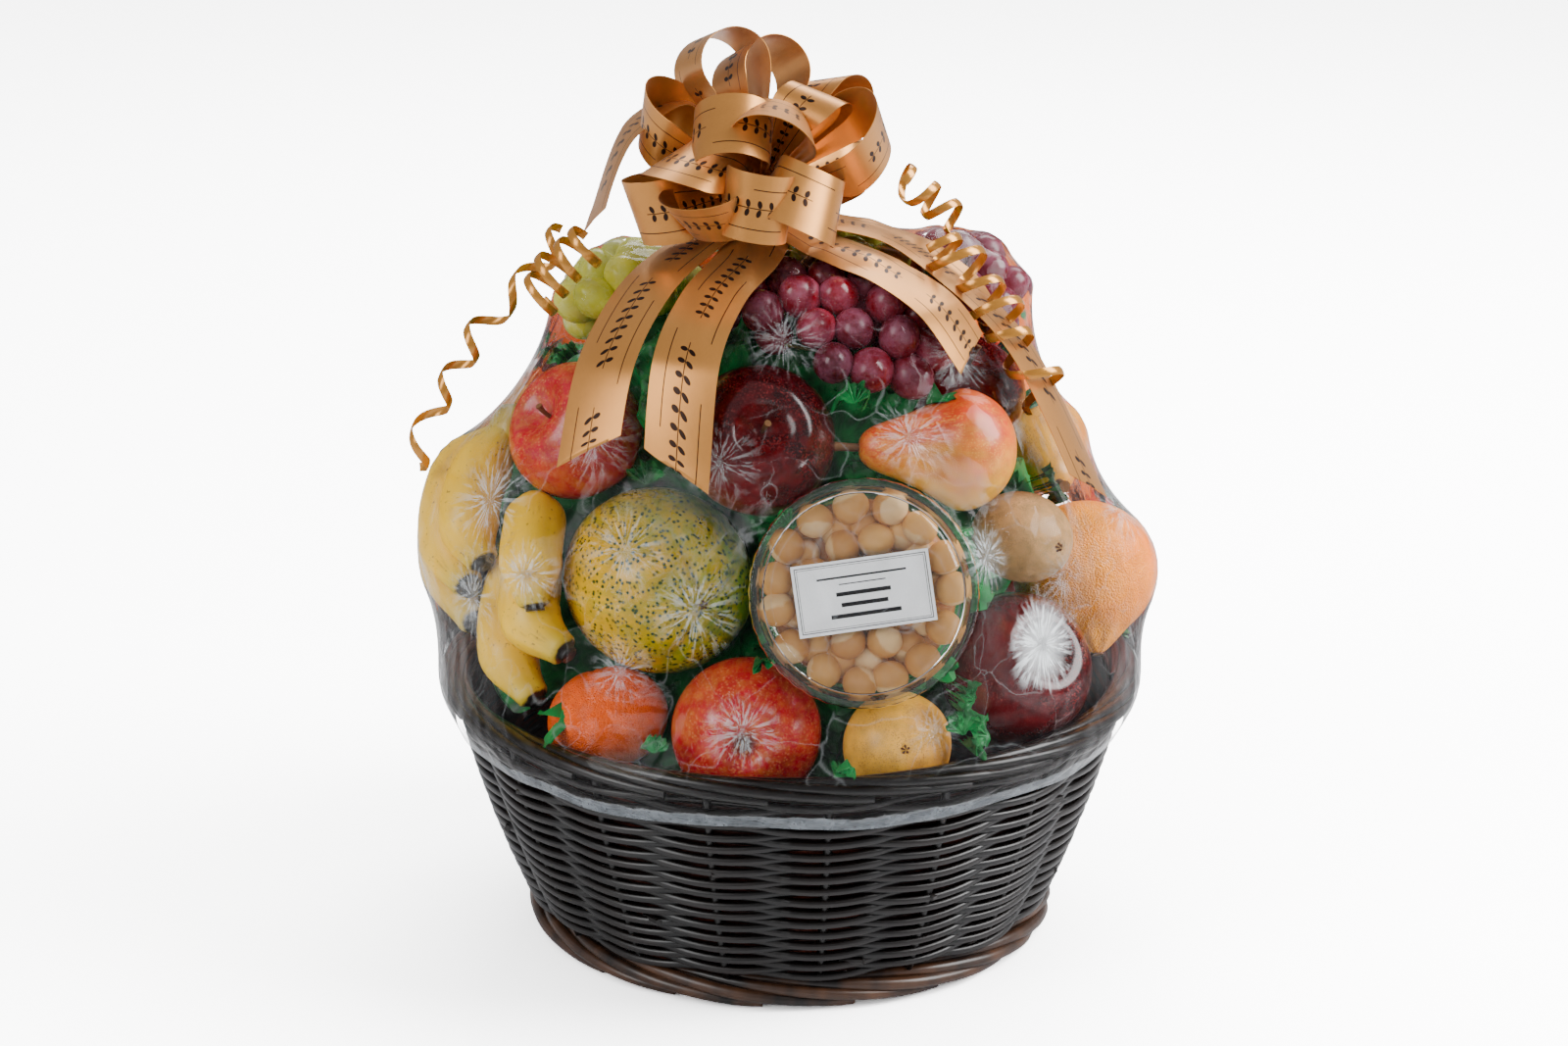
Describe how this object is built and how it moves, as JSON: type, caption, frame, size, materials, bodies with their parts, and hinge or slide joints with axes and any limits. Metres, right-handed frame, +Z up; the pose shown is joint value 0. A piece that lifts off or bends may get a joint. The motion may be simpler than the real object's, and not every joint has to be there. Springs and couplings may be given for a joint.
{
  "type": "fruit gift basket",
  "caption": "Round wicker basket heaped with fruit and a tub of nuts on tissue, wrapped in clear film tied with a satin ribbon bow, tails and curls.",
  "frame": {"origin": "on the floor under the middle of the foot border", "axes": "+Z up, the front with the tub and the long ribbon tails faces -Y, +X to the viewer's right"},
  "size_m": [0.4169, 0.3991, 0.5055],
  "materials": {
    "wicker": "dark lacquered willow",
    "tissue": "green tissue",
    "film": "clear shrink film",
    "satin": "gold satin ribbon",
    "mandarin": "orange peel",
    "orange": "orange peel",
    "striped_apple": "red and yellow striped apple skin",
    "dark_apple": "dark red apple skin",
    "pear": "yellow pear skin with a red blush",
    "papaya": "yellow green papaya skin",
    "kiwi": "brown fuzzy kiwi skin",
    "banana": "yellow banana skin",
    "red_grape": "red grape skin with bloom",
    "green_grape": "green grape skin",
    "nut": "roasted macadamia nut",
    "clear_plastic": "clear moulded plastic",
    "label": "white label with plain rules"
  },
  "bodies": {
    "root": {"basket_wall": "wicker", "basket_foot_border": "wicker", "basket_rim_border": "wicker", "tissue_packing": "tissue", "mandarin": "mandarin", "apple_front": "striped_apple", "pear_front": "pear", "dark_apple_right": "dark_apple", "tangelo": "orange", "papaya": "papaya", "kiwi": "kiwi", "apple_left": "striped_apple", "dark_apple_middle": "dark_apple", "pear_lying": "pear", "pear_right": "pear", "dark_apple_top": "dark_apple", "apple_back_low": "striped_apple", "orange_back_low": "orange", "apple_back_middle": "dark_apple", "pear_back_low": "pear", "orange_left_low": "orange", "orange_back": "orange", "apple_back": "striped_apple", "apple_back_left": "dark_apple", "pear_back": "pear", "orange_top": "orange", "apple_top": "striped_apple", "mandarin_top": "mandarin", "banana_hand_left": "banana", "banana_hand_front": "banana", "tub_base": "clear_plastic", "tub_lid": "clear_plastic", "tub_label": "label", "macadamia_nuts": "nut", "red_grapes": "red_grape", "red_grapes_right": "red_grape", "green_grapes_top": "green_grape", "green_grapes_left": "green_grape", "clear_film": "film", "ribbon_bow": "satin", "ribbon_tail_left": "satin", "ribbon_tail_middle": "satin", "ribbon_tail_right": "satin", "ribbon_tail_far": "satin", "curl_left": "satin", "curl_left_ball": "satin", "curl_right": "satin", "curl_right_small": "satin"}
  },
  "joints": []
}
